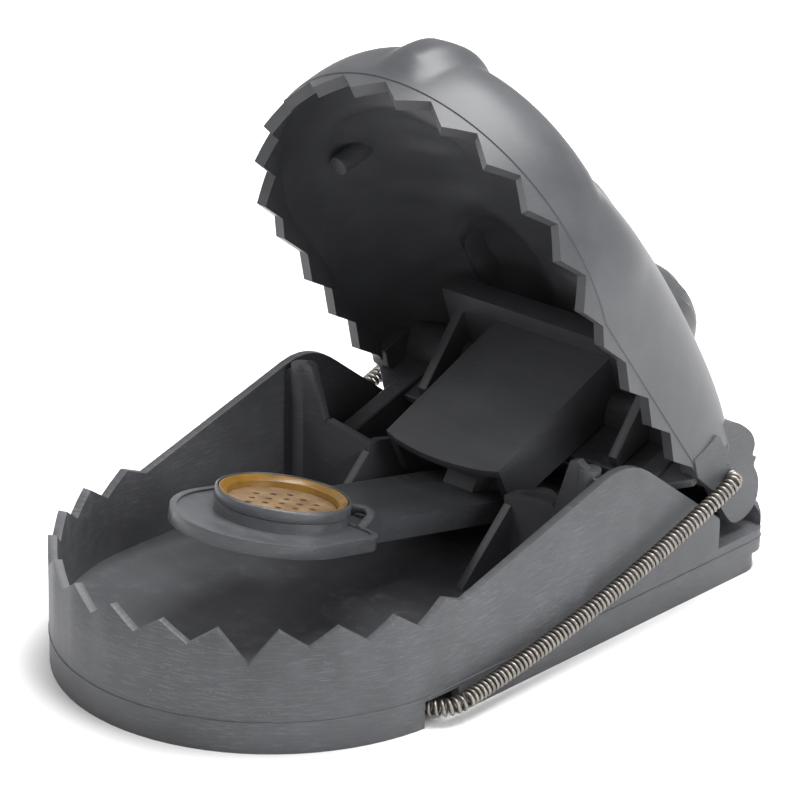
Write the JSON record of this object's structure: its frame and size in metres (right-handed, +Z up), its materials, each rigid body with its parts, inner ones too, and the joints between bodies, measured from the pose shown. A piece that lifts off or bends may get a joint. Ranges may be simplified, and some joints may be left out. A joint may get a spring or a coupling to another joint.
{
  "type": "snap mouse trap",
  "caption": "Plastic jaw-type mouse trap shown set: toothed lower jaw, hinged toothed upper jaw with a rear handle, side extension springs and a trigger pedal with a bait cup.",
  "frame": {"origin": "on the floor, under the middle of the set trap's outline", "axes": "+Y from the mouth towards the rear handle, +X to the right seen from the mouth, +Z up"},
  "size_m": [0.0634, 0.0958, 0.076],
  "materials": {
    "body_plastic": "fine satin moulded",
    "trigger_plastic": "semi-gloss moulded",
    "bait_amber": "smooth translucent",
    "cover_tan": "matt, punched with fine holes",
    "spring_steel": "bright drawn wire",
    "pin_steel": "plain turned"
  },
  "bodies": {
    "base": {"lower_jaw": "body_plastic", "jaw_hinge_pin_left": "pin_steel", "jaw_hinge_pin_right": "pin_steel", "trigger_pin": "pin_steel"},
    "jaw": {"upper_jaw": "body_plastic", "latch_channel": "body_plastic"},
    "trigger": {"trigger_pedal": "trigger_plastic", "bait_cup": "trigger_plastic", "bait_tray": "bait_amber", "bait_cover": "cover_tan"},
    "left_spring": {"spring_left": "spring_steel"},
    "right_spring": {"spring_right": "spring_steel"}
  },
  "joints": [
    {"name": "jaw_hinge", "type": "hinge", "parent": "base", "child": "jaw", "pos_m": [0, 0.01585, 0.0104], "axis": [1, 0, 0], "range_deg": [0, 70.5]},
    {"name": "trigger_hinge", "type": "hinge", "parent": "base", "child": "trigger", "pos_m": [0, 0.03375, 0.0074], "axis": [1, 0, 0], "range_deg": [0, 10.8]},
    {"name": "left_spring_swing", "type": "hinge", "parent": "base", "child": "left_spring", "pos_m": [-0.0305, -0.01625, 0.0026], "axis": [1, 0, 0], "range_deg": [0, 27.9], "deforming": ["spring_left"]},
    {"name": "right_spring_swing", "type": "hinge", "parent": "base", "child": "right_spring", "pos_m": [0.0305, -0.01625, 0.0026], "axis": [1, 0, 0], "range_deg": [0, 27.9], "deforming": ["spring_right"]}
  ],
  "couplings": [
    {"joint": "trigger_hinge", "follows": "jaw_hinge", "ratio": 0.1532},
    {"joint": "left_spring_swing", "follows": "jaw_hinge", "ratio": 0.3949},
    {"joint": "right_spring_swing", "follows": "jaw_hinge", "ratio": 0.3949}
  ]
}
